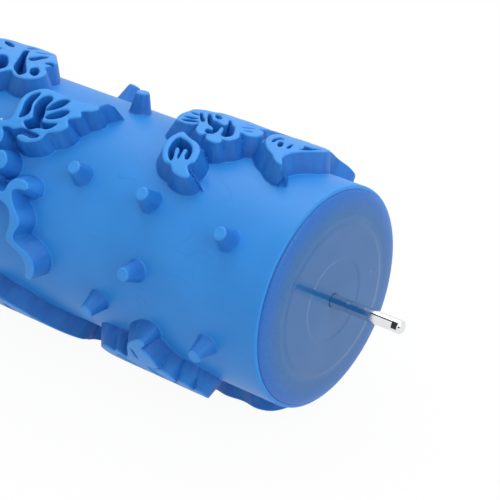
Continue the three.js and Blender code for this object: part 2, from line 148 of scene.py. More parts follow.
class CapSettings(PropertyGroup):
    disc_radius: length("Disc radius", "Radius of the flat disc", 17 * MM)
    disc_step: length("Disc step", "Height of the disc over the shoulder", 0.12 * MM)
    recess_radius: length("Recess radius", "Radius of the recess round the pin", 9.3 * MM)
    recess_depth: length("Recess depth", "Depth of the recess round the pin", 0.1 * MM)
    hole_play: length("Hole play", "Gap between the pin and the cap's hole", 0.08 * MM)
    edge_gap: length("Edge gap", "Gap between the cap and the sleeve's rim", 0.02 * MM)
    steps: IntProperty(name="Steps", description="Points round the cap", default=128, min=24)
    disc: colour("Disc", "Colour of the glossy disc", (0.015, 0.121, 0.350))
    shoulder: colour("Shoulder", "Colour of the grained shoulder", (0.016, 0.136, 0.375))
    # Painted light: the brighter blue of the shoulder's rounded rim
    edge: colour("Edge", "Colour of the shoulder's edge", (0.010, 0.140, 0.52))


class PinSettings(PropertyGroup):
    chamfer: length("Chamfer", "Chamfer of the pin's tips", 0.25 * MM)
    slot_width: length("Slot width", "Width of the slot along the pin", 0.3 * MM)
    slot_depth: length("Slot depth", "Depth of the slot", 0.25 * MM)
    slot_length: length("Slot length", "Length of the slot", 5.6 * MM)
    notch_length: length("Notch length", "Length of the notch near the tip", 1.35 * MM)
    notch_inset: length("Notch inset", "Distance of the notch from the tip", 0.6 * MM)
    steps: IntProperty(name="Steps", description="Points round the pin", default=64, min=16)
    steel: colour("Steel", "Colour of the bright steel", (0.78, 0.79, 0.80))


class StageSettings(PropertyGroup):
    world: FloatProperty(
        name="World", description="Strength of the even light from all round", default=0.60, min=0)
    key: FloatProperty(
        name="Key", description="Power of the soft lamp over and behind the roller",
        default=3.6, min=0, unit="POWER")
    fill: FloatProperty(
        name="Fill", description="Power of the soft lamp beside the roller", default=1.8, min=0, unit="POWER")
    whiteness: FloatProperty(
        name="Whiteness", description="How far the floor is lifted to white where it is seen",
        default=0.95, min=0, max=1, subtype="FACTOR")
    floor: colour("Floor", "Colour of the floor", (0.85, 0.85, 0.85))
    card: length("Card", "Side of the dark card behind the camera", 900 * MM)


# Node trees

class Socket:
    """A node's output. Python's operators on it add Math nodes."""

    def __init__(self, graph, link):
        self.graph = graph
        self.link = link

    def beside(self, output):
        """Another output of the same node."""
        return Socket(self.graph, self.link.node.outputs[output])

    def math(self, operation, *others):
        return self.graph.add("ShaderNodeMath", {"operation": operation}, dict(enumerate((self, *others))))

    def __rsub__(self, other):
        return self.graph.add("ShaderNodeMath", {"operation": "SUBTRACT"}, {0: other, 1: self})

    __add__ = __radd__ = partialmethod(math, "ADD")
    __sub__ = partialmethod(math, "SUBTRACT")
    __mul__ = __rmul__ = partialmethod(math, "MULTIPLY")
    __truediv__ = partialmethod(math, "DIVIDE")
    __pow__ = partialmethod(math, "POWER")
    above = partialmethod(math, "GREATER_THAN")
    below = partialmethod(math, "LESS_THAN")
    floor_at = partialmethod(math, "MAXIMUM")
    size = partialmethod(math, "ABSOLUTE")

    def step(self, low, high):
        """0 under low, 1 over high, and soft between them."""
        return self.graph.add("ShaderNodeMapRange", {"interpolation_type": "SMOOTHSTEP"}, {
            "Value": self, "From Min": low, "From Max": high})


class Graph:
    """Adds nodes to a tree and links them."""

    def __init__(self, tree):
        self.tree = tree

    def add(self, kind, settings=None, sockets=None, output=0):
        node = self.tree.nodes.new(kind)
        for name, value in (settings or {}).items():
            setattr(node, name, value)
        for name, value in (sockets or {}).items():
            if isinstance(value, Socket):
                self.tree.links.new(value.link, node.inputs[name])
            else:
                node.inputs[name].default_value = value
        return Socket(self, node.outputs[output]) if len(node.outputs) else node

    def mix(self, factor, first, second):
        """A colour between two colours."""
        return self.add("ShaderNodeMix", {"data_type": "RGBA"}, {0: factor, 6: first, 7: second}, output=2)

    def split(self, vector):
        """The three numbers of a vector."""
        first = self.add("ShaderNodeSeparateXYZ", {}, {0: vector})
        return [first.beside(axis) for axis in range(3)]

    def noise(self, place, scale, detail=2):
        return self.add("ShaderNodeTexNoise", {}, {"Vector": place, "Scale": scale, "Detail": detail})

    def stretched(self, place, scale):
        """Coordinates scaled by a number on each axis."""
        return self.add("ShaderNodeMapping", {}, {"Vector": place, "Scale": scale})

    def bump(self, height, distance, strength):
        return self.add("ShaderNodeBump", {}, {"Height": height, "Distance": distance, "Strength": strength})


def new_material(name):
    """A material with a Principled shader, its graph and its object coordinates."""
    material = bpy.data.materials.new(name)
    material.use_nodes = True
    graph = Graph(material.node_tree)
    graph.tree.nodes.clear()
    return material, graph, graph.add("ShaderNodeTexCoord", output="Object")


def darker(tint, share):
    return (*(share * channel for channel in tint[:3]), 1)


def finish_material(graph, sockets):
    shader = graph.add("ShaderNodeBsdfPrincipled", {}, sockets)
    graph.add("ShaderNodeOutputMaterial", {}, {"Surface": shader})


def from_axis(graph, place):
    """Distance from the pin's axis."""
    _, across, up = graph.split(place)
    return (across * across + up * up) ** 0.5


def rubber_material(settings):
    """Satin blue rubber: painted highlight on the tops, painted shade on the fluted walls, faint scuffs, fine
    grain, a few pale specks.
    """
    material, graph, place = new_material("blue_rubber")
    radius = from_axis(graph, place)
    foot = settings.base_radius + 0.4 * MM
    crown = settings.base_radius + settings.relief_height
    on_top = radius.step(crown - 0.45 * MM, crown - 0.1 * MM)
    rise = (radius - foot) / (crown - foot)
    # Painted shade on the walls, from just under their feet, deepest at the foot and fading towards the tops
    on_wall = radius.step(foot - 0.4 * MM, foot + 0.1 * MM) * (1 - on_top) * (1 - rise * 0.3)
    patches = graph.noise(place, 38, 3)
    along, across, up = graph.split(place)
    spokes = {"X": along, "Y": across / radius * settings.base_radius, "Z": up / radius * settings.base_radius}
    # Streaks that run up the walls: bumps, and lighter streaks in the painted shade
    flute_bumps_and_shade_streaks = graph.noise(graph.add("ShaderNodeCombineXYZ", {}, spokes), 430, 2).step(0.4, 0.62) * on_wall
    # Painted highlight: the motifs' tops take the brighter crown colour
    tint = graph.mix(on_top, settings.rubber, settings.crown)
    # Painted shade: the walls darken towards the wall shade colour, lighter in the flutes' streaks
    tint = graph.mix(on_wall - flute_bumps_and_shade_streaks * 0.3, tint, settings.painted_shade_and_scuff_tint)
    bleached = tuple(min(1, channel * 1.22 + 0.012) for channel in settings.rubber)
    tint = graph.mix(patches.step(0.46, 0.74) * 0.45, tint, bleached)
    veins = (graph.noise(graph.stretched(place, (1, 1.6, 1.6)), 62, 1) - 0.5).size()
    scuffs = veins.below(0.0035) * graph.noise(place, 95, 1).step(0.52, 0.62) * radius.below(foot)
    tint = graph.mix(scuffs * 0.16, tint, settings.painted_shade_and_scuff_tint)
    cells = graph.add("ShaderNodeTexVoronoi", {}, {"Vector": place, "Scale": 190})
    specks = cells.below(0.05) * graph.split(cells.beside("Color"))[0].above(0.985)
    tint = graph.mix(specks * 0.8, tint, (0.8, 0.88, 0.95, 1))
    grain = graph.noise(place, 2600, 2)
    waves = graph.noise(place, 160, 3)
    normal = graph.bump(grain * 0.35 + waves + flute_bumps_and_shade_streaks * 3 - scuffs * 0.6, 0.05 * MM, 0.7)
    finish_material(graph, {
        "Base Color": tint,
        "Roughness": 0.40 + patches * 0.12 + on_wall * 0.06,
        "Normal": normal,
        "Specular IOR Level": 0.38,
    })
    return material


def cap_material(settings):
    """Blue plastic: a glossy disc with a faint haze and dust, and a grained shoulder with a brighter edge of
    painted light.
    """
    material, graph, place = new_material("cap_plastic")
    radius = from_axis(graph, place)
    outside = radius.step(settings.disc_radius - 0.4 * MM, settings.disc_radius + 2.6 * MM)
    grain = graph.noise(place, 3400, 2)
    haze = graph.noise(place, 55, 3)
    tint = graph.mix(outside, settings.disc, settings.shoulder)
    tint = graph.mix(haze.step(0.35, 0.75) * 0.25, tint, (0.085, 0.185, 0.38, 1))
    # Painted light: the outer 5 mm of the shoulder, its rounded rim, turns a brighter blue
    tint = graph.mix(radius.step(CAP_EDGE - 5 * MM, CAP_EDGE), tint, settings.edge)
    tint = graph.mix(outside * grain.step(0.5, 0.62) * 0.35, tint, (0.010, 0.055, 0.22, 1))
    dust = graph.noise(place, 900, 1).step(0.79, 0.83) * 0.3
    tint = graph.mix(dust, tint, (0.55, 0.62, 0.72, 1))
    finish_material(graph, {
        "Base Color": tint,
        "Roughness": 0.12 + outside * 0.3 + haze * 0.05,
        "Normal": graph.bump(grain * outside, 0.06 * MM, 0.8),
    })
    return material


def steel_material(name, tint, roughness, cut_radius=0):
    """Bright steel with fine lines along its length, and painted shade, dark and dull, where it is cut deeper
    than some radius.
    """
    material, graph, place = new_material(name)
    along, _, _ = graph.split(place)
    # Painted shade: inside the slot and notch, under cut_radius, the steel turns near black, dull and not
    # metallic
    cut = from_axis(graph, place).below(cut_radius) * along.size().below(PIN_HALF - 0.4 * MM)
    lines = graph.noise(graph.stretched(place, (1, 40, 40)), 260, 2)
    stains = graph.noise(place, 420, 2)
    worn = graph.mix(stains.step(0.5, 0.8) * 0.2, tint, darker(tint, 0.8))
    finish_material(graph, {
        "Base Color": graph.mix(cut, worn, (0.02, 0.02, 0.025, 1)),
        "Metallic": 1 - cut,
        "Roughness": roughness + lines * 0.05 + cut * 0.5,
        "Normal": graph.bump(lines, 0.01 * MM, 0.25),
    })
    return material


def moulded_material(name, tint, roughness):
    """Plain moulded plastic with a soft mottle."""
    material, graph, place = new_material(name)
    mottle = graph.noise(place, 140, 3)
    finish_material(graph, {
        "Base Color": graph.mix(mottle * 0.3, tint, darker(tint, 0.82)),
        "Roughness": roughness + mottle * 0.1,
        "Normal": graph.bump(graph.noise(place, 1800, 2), 0.02 * MM, 0.4),
    })
    return material


# Flat motifs in hundredths of a motif's size, X along the sleeve and Y round its crown. An outline is a row of
# X and Y of points on a smooth line, and so is each hole. Slots are rows of their start, end and width. A ridge
# that runs down a wall is rows of a place, hundredths of the relief's height and of a millimetre outwards.

CURVE_STEPS = 6
SLOT_STEPS = 10
RIDGE_STEPS = 30
CREASE_HALVINGS = 6
MOTIF_SIZE = 10
MOTIFS = {
    "rosette": {
        "outline": [-94, -17, -93, -45, -84, -70, -74, -76, -66, -75, -56, -75, -43, -72, -36, -64, -31, -58,
            -25, -74, -18, -84, -8, -92, 3, -96, 8, -88, 11, -83, 15, -90, 22, -101, 34, -105, 45, -106,
            55, -103, 60, -95, 56, -84, 61, -85, 68, -82, 75, -73, 79, -62, 75, -49, 66, -37, 64, -30,
            73, -33, 85, -35, 94, -32, 101, -23, 102, -10, 88, 20, 68, 30, 74, 50, 56, 72, 34, 66, 24, 80,
            -2, 90, -20, 74, -36, 78, -62, 66, -66, 42, -84, 30, -96, 8],
        "holes": [
            [1, -76, 9, -81, 19, -81, 24, -74, 24, -64, 20, -52, 16, -42, 16, -36, 23, -39, 31, -51, 36, -63,
                44, -72, 53, -73, 59, -66, 60, -56, 54, -43, 46, -30, 34, -14, 20, -4, 1, 17, -5, 17, 11, -7,
                14, -20, 8, -24, -5, -19, -15, -14, -22, -17, -30, -11, -52, 13, -59, 16, -50, -2, -32, -25,
                -19, -40, -8, -48, -1, -50, 7, -55, 11, -63, 6, -64, -1, -64, -2, -69],
            [-68, -6, -68, 1, -50, -17, -35, -31, -29, -40, -31, -45, -42, -37],
            [-46, 21, -47, 33, -33, 26, -19, 8, -19, -3, -29, 1],
        ],
        "slots": [(-73, -65, -35, -50, 13), (-80, -48, -46, -38, 12), (-84, -16, -59, -19, 10),
            (59, -18, 79, -5, 8), (44, -3, 65, 21, 10), (32, 28, 52, 43, 8)],
    },
    "flower": {
        "outline": [58, 74, 84, 46, 104, 26, 116, 2, 114, -26, 133, -42, 141, -62, 130, -85, 102, -97,
            75, -93, 58, -82, 46, -94, 32, -112, 5, -120, -15, -108, -26, -90, -45, -110, -75, -112, -95, -90,
            -86, -60, -110, -55, -130, -30, -125, 0, -100, 12, -115, 40, -105, 70, -80, 85, -55, 84, -42, 114,
            -20, 126, -2, 112, 12, 106, 34, 98],
        "holes": [
            [104, -68, 91, -51, 94, -38, 106, -40, 120, -55, 124, -73],
            [91, -87, 73, -81, 50, -64, 27, -23, -3, 25, 0, 40, 19, 15, 42, -16, 75, -50, 94, -70],
            [-20, -40, -8, -32, 8, -40, 27, -59, 37, -78, 26, -92, 2, -72],
            [94, -8, 92, 8, 106, 10, 116, -5],
            [45, -10, 46, 14, 50, 38, 62, 40, 68, 16, 64, -16],
        ],
        "slots": [(-30, -40, -72, -88, 20), (-40, -10, -105, -24, 20), (-34, 20, -86, 54, 20),
            (-12, 46, -16, 92, 18), (20, 40, 46, 74, 16)],
    },
    "bloom": {
        "outline": [-63, -5, -71, 22, -66, 49, -42, 74, -4, 76, 30, 71, 63, 72, 104, 79, 120, 72, 113, 56,
            91, 45, 102, 30, 79, 13, 93, -5, 83, -23, 56, -38, 52, -57, 30, -72, 7, -77, -13, -71, -7, -62,
            10, -61, 27, -62, 42, -50, 15, -47, -12, -47, -32, -57, -48, -56, -62, -62, -52, -70, -45, -85,
            -50, -100, -75, -105, -100, -95, -105, -70, -90, -52, -60, -40, -57, -26],
        "holes": [
            [-39, -26, -46, -5, -56, 20, -56, 43, -42, 57, -37, 40, -36, 22, -25, 0, -25, -14],
            [-14, -2, -26, 20, -27, 44, -15, 57, 1, 50, 3, 25, 17, 0, 23, -16, 45, -12, 63, -7, 50, -28,
                25, -34, 5, -45, -12, -38, -20, -30, -6, -16],
            [8, 16, 12, 42, 23, 60, 40, 64, 39, 41, 24, 22],
            [22, -3, 28, 12, 48, 32, 65, 34, 61, 14, 40, -2],
        ],
        "ridge": [(108, 70, 100, 70), (120, 90, 80, 80), (132, 108, 50, 60), (152, 124, 0, 0)],
    },
    "ring_leaf": {
        "outline": [-47, 42, -43, 51, -39, 57, -28, 53, -15, 47, -4, 43, 10, 40, 22, 34, 34, 24, 41, 15,
            45, 4, 48, -5, 50, -14, 48, -19, 43, -24, 42, -31, 48, -38, 57, -45, 63, -51, 62, -58, 52, -62,
            39, -62, 27, -60, 16, -55, 7, -46, -1, -42, -10, -43, -21, -38, -31, -27, -41, -13, -46, 0,
            -50, 14, -50, 28],
        "holes": [
            [-31, 36, -22, 35, -8, 32, 4, 27, 14, 20, 22, 11, 27, 1, 30, -10, 29, -17, 23, -16, 18, -10,
                15, -2, 14, 6, 9, 10, 3, 8, 4, -1, 7, -12, 10, -23, 4, -18, 0, -8, -5, 2, -11, 6, -16, 4,
                -13, -6, -7, -16, -2, -27, -2, -33, -9, -30, -19, -21, -27, -9, -32, 5, -35, 18, -35, 30],
        ],
        "ridge": [(50, -36, 100, 20), (58, -40, 80, 30), (68, -43, 52, 25), (80, -47, 20, 20),
            (88, -49, 0, 0)],
    },
    "rib_leaf": {
        "outline": [-37, -2, -46, 11, -53, 27, -59, 45, -62, 66, -60, 82, -52, 90, -40, 93, -36, 112,
            -20, 138, 10, 142, 42, 120, 66, 98, 71, 81, 71, 55, 63, 36, 53, 17, 43, -2, 38, -19, 37, -34,
            42, -47, 52, -60, 53, -68, 45, -66, 34, -62, 23, -53, 10, -42, -4, -33, -19, -22],
        "holes": [
            [-29, 9, -35, 22, -38, 40, -38, 55, -28, 54, -21, 40, -27, 40, -28, 27, -24, 9],
            [-11, 7, -3, -2, 2, -5, 2, 3, -6, 21, -16, 30, -18, 24],
            [16, 3, 21, 2, 17, 16, 9, 35, 8, 27, 11, 13],
            [38, 16, 37, 35, 27, 53, 30, 58, 40, 58, 47, 66, 58, 74, 54, 37],
        ],
        "ridge": [(51, -63, 100, 20), (57, -65, 74, 25), (64, -68, 50, 25), (71, -72, 20, 15),
            (75, -75, 6, 0)],
    },
    "tendril": {
        "outline": [15, 98, 6, 106, -12, 108, -31, 101, -42, 86, -48, 68, -75, 66, -100, 68, -125, 58,
            -140, 36, -130, 22, -115, 36, -95, 47, -72, 48, -52, 47, -36, 44, -22, 34, -14, 16, -14, -4,
            -19, -24, -14, -38, 4, -47, 26, -57, 38, -74, 40, -94, 35, -108, 44, -115, 57, -106, 65, -88,
            66, -70, 57, -54, 40, -43, 17, -35, 3, -26, 5, -10, 14, 6, 15, 20, 4, 34, -12, 50, -23, 66,
            -23, 78, -8, 85, 7, 87, 17, 92],
    },
    "spray": {
        "outline": [-51, 79, -40, 88, -29, 94, -19, 95, -14, 86, -18, 76, -29, 66, -18, 58, -11, 46, -5, 30,
            -3, 14, -6, 3, -15, -6, -3, 3, 9, 4, 20, -6, 26, -24, 24, -40, 15, -52, 30, -32, 44, -20, 57, -19,
            67, -30, 69, -45, 60, -57, 73, -40, 85, -31, 96, -32, 101, -46, 98, -68, 84, -90, 60, -100,
            30, -102, 5, -120, -30, -115, -50, -92, -90, -100, -130, -95, -170, -70, -185, -30, -175, -10,
            -152, 4, -138, -8, -120, 6, -104, -12, -87, 16, -80, 36, -72, 56, -62, 70],
        "slots": [(-64, 50, -60, 10, 7), (-44, -10, -16, -70, 14), (10, -50, 34, -80, 12),
            (-140, -20, -70, -66, 16)],
    },
    "lobed_leaf": {
        "outline": [-2, -112, 20, -116, 16, -66, 45, -60, 56, -34, 85, -30, 98, -12, 85, 16, 54, 26, 70, 50,
            62, 76, 30, 82, 2, 62, -8, 88, -34, 92, -55, 70, -50, 36, -74, 38, -90, 22, -84, -6, -62, -20,
            -52, -46, -30, -62],
        "slots": [(-10, 2, -30, 70, 16), (14, 4, 50, 60, 16), (20, -16, 76, -14, 15),
            (-20, -10, -72, 14, 15)],
    },
    "ledge": {
        "outline": [110, -68, 110, -10, 128, 20, 134, 50, 118, 72, 94, 68, 90, 94, 62, 110, 36, 100, 24, 84,
            8, 108, -20, 112, -42, 95, -46, 76, -66, 92, -98, 84, -106, 60, -94, 40, -120, 34, -134, 6,
            -120, -50, -90, -71, -50, -64, -10, -74, 30, -66, 70, -72],
        "slots": [(-30, -26, -104, -20, 16), (-24, -2, -84, 50, 18), (-8, 14, -20, 86, 18),
            (14, 12, 54, 84, 18), (26, -6, 102, 42, 18), (24, -30, 88, -20, 16)],
    },
    "leaf": {
        "outline": [8, 40, -12, 34, -30, 37, -46, 24, -62, 20, -78, 0, -62, -20, -46, -24, -30, -37, -12, -34,
            8, -40, 28, -28, 50, -26, 68, -10, 94, 0, 68, 10, 50, 26, 28, 28],
        "slots": [(-62, 0, 70, 0, 10), (-40, 9, -20, 26, 8), (-12, 9, 12, 30, 8), (20, 8, 42, 20, 7),
            (-40, -9, -20, -26, 8), (-12, -9, 12, -30, 8), (20, -8, 42, -20, 7)],
    },
}

# Motifs as rows of their name, scale, middle as a share of the half length, degrees round from the top line
# and degrees of their own turn
MOTIF_PLACE_SHARES = [
    ("rosette", 1, 0.625, -14, 0),
    ("ring_leaf", 1, 0.629, 17, 0),
    ("rib_leaf", 1, 0.817, -8, 0),
    ("bloom", 1, 0.197, 24.5, 0),
    ("lobed_leaf", 0.85, 0.1, 53, 20),
    ("tendril", 1, 0.269, 75, 0),
    ("flower", 1, -0.06, -9, 0),
    ("spray", 1, 0.709, 122, 0),
    ("ledge", 1, 0.72, -50, 0),
    ("flower", 1.3, 0.18, 150, 0),
    ("ledge", 1, 0.766, 174, 180),
    ("lobed_leaf", 1.5, 0.68, 254, 0),
    ("leaf", 1.6, 0.18, 216, 115),
    ("leaf", 1.6, 0.36, 258, 60),
    ("leaf", 1.6, 0.04, 274, 160),
    ("rosette", 1.5, -0.68, 2, 0),
    ("ring_leaf", 1.7, -0.5, 58, 190),
    ("leaf", 1.7, -0.28, 112, 60),
    ("lobed_leaf", 1.5, -0.72, 146, 200),
    ("leaf", 1.6, -0.15, 174, 70),
    ("leaf", 1.6, -0.34, 188, 130),
    ("leaf", 1.8, -0.66, 228, 90),
    ("leaf", 1.6, -0.16, 250, 30),
    ("leaf", 1.7, -0.66, 294, 20),
    ("leaf", 1.6, -0.3, 294, 130),
]
# Pegs as rows of their place as a share of the half length and degrees round from the top line
PEG_PLACE_SHARES = [
    (0.389, 41.5), (0.608, 41.5), (0.859, 45), (0.631, 75.5), (0.509, 101), (0.854, 99.5), (0.174, -48),
    (0.353, -14), (0.42, 206), (0.36, 244), (0.93, 224), (0.42, 290), (-0.12, 52), (-0.3, 44), (-0.14, 86),
    (-0.86, 88), (-0.06, 140), (-0.02, 246), (-0.5, 270), (-0.3, 330), (-0.9, 42), (-0.92, 284),
]


def on_circle(radius, angle):
    return np.array((radius * math.cos(angle), radius * math.sin(angle)))


def smooth_loop(joints):
    """Even steps of a closed smooth line through some joints, as a Catmull-Rom spline runs."""
    before, after, last = (np.roll(joints, turn, axis=0) for turn in (1, -1, -2))
    points = [0.5 * (2 * joints + (after - before) * share
                     + (2 * before - 5 * joints + 4 * after - last) * share ** 2
                     + (3 * joints - before - 3 * after + last) * share ** 3)
              for share in np.arange(CURVE_STEPS) / CURVE_STEPS]
    return np.stack(points, axis=1).reshape(-1, 2)


def slot(start, end, width):
    """A slot with pointed ends that is widest halfway."""
    along = (end - start) / np.linalg.norm(end - start)
    side = np.array((-along[1], along[0])) * width / 2
    shares = (np.arange(SLOT_STEPS) / SLOT_STEPS)[:, None]
    belly = np.sqrt(np.sin(shares * math.pi))
    there = start + (end - start) * shares + side * belly
    back = end + (start - end) * shares - side * belly
    return np.vstack([there, back])


def along_line(points, steps):
    """A line's points spaced evenly."""
    run = np.concatenate([[0], np.cumsum(np.linalg.norm(np.diff(points, axis=0), axis=1))])
    places = np.linspace(0, run[-1], steps + 1)
    return np.column_stack([np.interp(places, run, points[:, axis]) for axis in range(points.shape[1])])


# The sleeve's sheet is cut open along this line, and motifs this many degrees past it still reach over it
SEAM_DEGREES = -40
SEAM_REACH = 40
SEAM_POINTS_PER_MM = 2
# Walls of holes are steeper than outer walls by this much, and a ridge's sides by that
HOLE_STEEPNESS = 3
RIDGE_STEEPNESS = 1.5
# Millimetres: how far the outermost and innermost lines of even depth lie from a motif's wall and edge, how far
# a line may be off its depth, how near points come to the sheet's edge, and for the lattice in holes and round
# ridges, its spacing and the depth under which it starts
OUTER_LINE = 0.5
INNER_LINE = 0.4
LEVEL_PLAY = 0.03
EDGE_INSET = 0.1
HOLE_LATTICE = (0.4, -0.6)
RIDGE_LATTICE = (0.2, -0.1)
RIM_CLEARANCE = 0.3
# Height of the foot's fillet as a share of its width, and how late it rises
FILLET_RISE = 0.4
FILLET_POWER = 1.5
PLACES_AT_ONCE = 4000


class Relief:
    """The flat motifs together, with the depth of any place under their edges."""

    def __init__(self, reach, slope):
        self.reach = reach
        self.slope = slope
        self.loops = []
        self.shapes = []
        self.ridges = []

    def add(self, loops, ridge):
        """Adds one motif: its outline, its holes and the ridge that runs down its wall."""
        loops = [facing_solid(loop, n == 0) for n, loop in enumerate(loops)]
        self.loops += [(loop, n > 0) for n, loop in enumerate(loops)]
        self.shapes.append(loops)
        if ridge is not None:
            self.ridges.append(ridge)

    def depth(self, places):
        """How far each place lies inside a motif, or as a negative number how far it lies outside all."""
        best = np.full(len(places), -2 * self.reach)
        for loops in self.shapes:
            for part in self.near(places, loops[0].min(axis=0), loops[0].max(axis=0)):
                best[part] = np.maximum(best[part], depth_in(places[part], loops))
        for ridge in self.ridges:
            for part in self.near(places, ridge[:, :2].min(axis=0), ridge[:, :2].max(axis=0)):
                gap = np.linalg.norm(places[part, None] - ridge[:, :2], axis=2)
                level = ridge[:, 3] - (1 - ridge[:, 2]) * self.slope
                best[part] = np.maximum(best[part], (level - RIDGE_STEEPNESS * gap).max(axis=1))
        return best

    def near(self, places, low, high):
        """The numbers of the places near a box, in parts of a fair size."""
        found = np.flatnonzero(np.all((places > low - self.reach) & (places < high + self.reach), axis=1))
        return np.array_split(found, 1 + len(found) // PLACES_AT_ONCE) if len(found) else []


def inside(places, starts, ends):
    """Whether each place lies inside a closed loop, by the edges that a ray from it crosses."""
    crosses = (starts[:, 1] > places[:, None, 1]) != (ends[:, 1] > places[:, None, 1])
    rise = ends[:, 1] - starts[:, 1]
    share = (places[:, None, 1] - starts[:, 1]) / np.where(rise == 0, 1, rise)
    hit = crosses & (places[:, None, 0] < starts[:, 0] + share * (ends[:, 0] - starts[:, 0]))
    return hit.sum(axis=1) % 2 == 1


def gap_to(places, loop):
    """Each place's distance from a closed loop, and whether it lies inside."""
    ends = np.roll(loop, -1, axis=0)
    run = ends - loop
    away = places[:, None] - loop
    share = np.clip((away * run).sum(axis=2) / np.maximum((run * run).sum(axis=1), 1e-12), 0, 1)
    return np.linalg.norm(away - share[..., None] * run, axis=2).min(axis=1), inside(places, loop, ends)


def depth_in(places, loops):
    """How deep each place lies in a motif of an outline and holes. The walls of holes count as steeper."""
    gap, within = gap_to(places, loops[0])
    depth = np.where(within, gap, -gap)
    for hole in loops[1:]:
        gap, within = gap_to(places, hole)
        depth = np.where(within, -HOLE_STEEPNESS * gap, np.minimum(depth, gap))
    return depth


def facing_solid(loop, outer):
    """The loop in the order that has the rubber on its left."""
    after = np.roll(loop, -1, axis=0)
    area = (loop[:, 0] * after[:, 1] - after[:, 0] * loop[:, 1]).sum()
    return loop if (area > 0) == outer else loop[::-1]


def placed_relief(crown, reach, slope, lean):
    """Every motif's foot where it lies on the opened sheet, and again one turn away."""
    relief = Relief(reach, slope)
    for name, scale, along_share, around, turn in MOTIF_PLACE_SHARES:
        motif, size = MOTIFS[name], MOTIF_SIZE * scale
        turned = np.array([on_circle(size, math.radians(turn)), on_circle(size, math.radians(turn + 90))])
        loops = [smooth_loop(np.reshape(row, (-1, 2)) / 100)
                 for row in (motif["outline"], *motif.get("holes", ()))]
        loops += [slot(row[:2], row[2:4], row[4]) for row in np.array(motif.get("slots", ())) / 100]
        ridge = along_line(np.array(motif["ridge"]) / 100, RIDGE_STEPS) if "ridge" in motif else None
        for degrees in (around - 360, around, around + 360):
            if abs(degrees - SEAM_DEGREES - 180) > 180 + SEAM_REACH:
                continue
            place = np.array((along_share * HALF_LENGTH / MM - lean, -math.radians(degrees) * crown))
            placed = None if ridge is None else np.column_stack([ridge[:, :2] @ turned + place, ridge[:, 2:]])
            relief.add([loop @ turned + place for loop in loops], placed)
    return relief


def edge_profile(height, rounding, slope, fillet):
    """Rows of depth inside a motif and height there: foot fillet, leaning wall, round edge and flat top."""
    turns = np.radians((0, 30, 60, 90))
    foot = [(-slope - fillet * (0.5 - 0.5 * math.sin(a)),
             fillet * FILLET_RISE * (1 - math.cos(a)) ** FILLET_POWER) for a in turns]
    wall = [(-slope + share * slope, foot[-1][1] + share * (height - rounding - foot[-1][1]))
            for share in (0.25, 0.5, 0.75)]
    edge = [(rounding * (1 - math.cos(a)), height - rounding * (1 - math.sin(a))) for a in turns]
    outer, inner = (-slope - fillet - OUTER_LINE, 0), (rounding + INNER_LINE, height)
    return np.array([outer, *foot, *wall, *edge, inner])


def linked(name, data):
    """A new object in the scene."""
    thing = bpy.data.objects.new(name, data)
    bpy.context.scene.collection.objects.link(thing)
    return thing


def hand_over(piece, body, node):
    """Hangs a piece on the body it rides on and hides the CAD node it stands for."""
    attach(piece, body)
    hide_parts(node)


def mesh_object(name, points, faces, material):
    """A smooth mesh piece with its faces turned outwards."""
    mesh = bpy.data.meshes.new(name)
    mesh.from_pydata(points, [], faces)
    shape = bmesh.new()
    shape.from_mesh(mesh)
    bmesh.ops.remove_doubles(shape, verts=shape.verts, dist=MERGE_GAP)
    bmesh.ops.recalc_face_normals(shape, faces=shape.faces)
    shape.to_mesh(mesh)
    shape.free()
    mesh.shade_smooth()
    mesh.set_sharp_from_angle(angle=math.radians(SHARP_DEGREES))
    mesh.materials.append(material)
    return linked(name, mesh)


def turned_rows(profile, angles):
    """Points and faces of rows of [along, radius] turned round the pin's axis."""
    points = [(along, -radius * math.sin(a), radius * math.cos(a)) for along, radius in profile for a in angles]
    count = len(angles)
    faces = [(row * count + n, row * count + (n + 1) % count,
              (row + 1) * count + (n + 1) % count, (row + 1) * count + n)
             for row in range(len(profile) - 1) for n in range(count)]
    return points, faces


